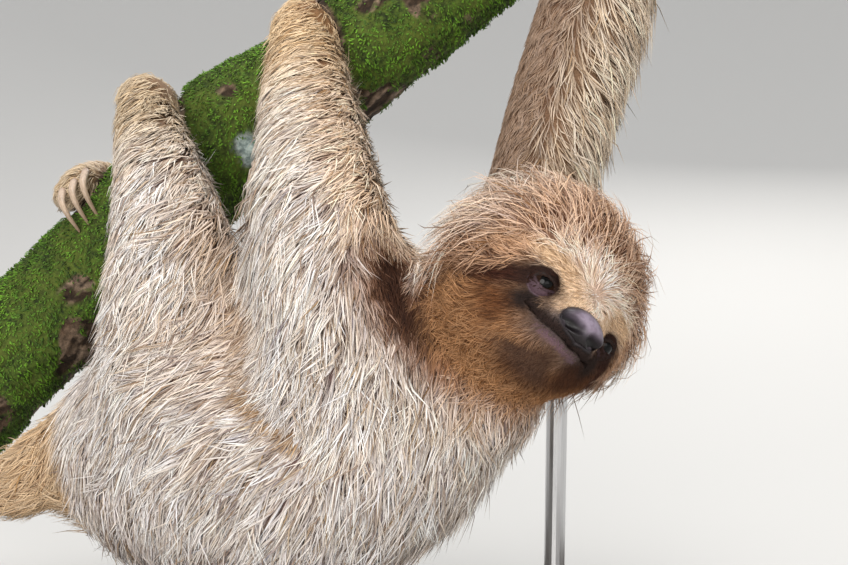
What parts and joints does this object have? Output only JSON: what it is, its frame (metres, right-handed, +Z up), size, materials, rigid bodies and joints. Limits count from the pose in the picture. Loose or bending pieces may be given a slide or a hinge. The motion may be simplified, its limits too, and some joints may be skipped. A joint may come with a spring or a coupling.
{
  "type": "three-toed sloth on a branch",
  "caption": "Still life-size brown-throated sloth gripping a short mossy branch, head turned out, on a flat base with upright rods.",
  "frame": {"origin": "centre of the stand base's underside", "axes": "+Z up from the floor, +X from the tail towards the head, -Y the side that the face looks out from"},
  "size_m": [0.5218, 0.3071, 0.5028],
  "materials": {
    "coat": "long coarse fur, cream and tan over brown",
    "claw_horn": "smooth ivory horn, semi-matt",
    "eye": "wet, dark brown",
    "nose_skin": "damp dark grey skin",
    "mossy_bark": "rough bark under moss",
    "stand_lacquer": "dark satin lacquer",
    "stand_steel": "brushed satin steel"
  },
  "bodies": {
    "root": {"head": "coat", "neck": "coat", "trunk": "coat", "tail": "coat", "left_upper_arm": "coat", "left_forearm": "coat", "left_hand": "coat", "right_upper_arm": "coat", "right_forearm": "coat", "right_hand": "coat", "left_thigh": "coat", "left_shank": "coat", "left_foot": "coat", "right_thigh": "coat", "right_shank": "coat", "right_foot": "coat", "claw_left_hand_1": "claw_horn", "claw_left_hand_2": "claw_horn", "claw_left_hand_3": "claw_horn", "claw_left_foot_1": "claw_horn", "claw_left_foot_2": "claw_horn", "claw_left_foot_3": "claw_horn", "claw_right_hand_1": "claw_horn", "claw_right_hand_2": "claw_horn", "claw_right_hand_3": "claw_horn", "claw_right_foot_1": "claw_horn", "claw_right_foot_2": "claw_horn", "claw_right_foot_3": "claw_horn", "eye_left": "eye", "eye_right": "eye", "nose": "nose_skin", "perch_branch": "mossy_bark", "stand_base": "stand_lacquer", "stand_rod_left": "stand_steel", "stand_rod_right": "stand_steel", "stand_collar_left": "stand_steel", "stand_collar_right": "stand_steel"}
  },
  "joints": []
}
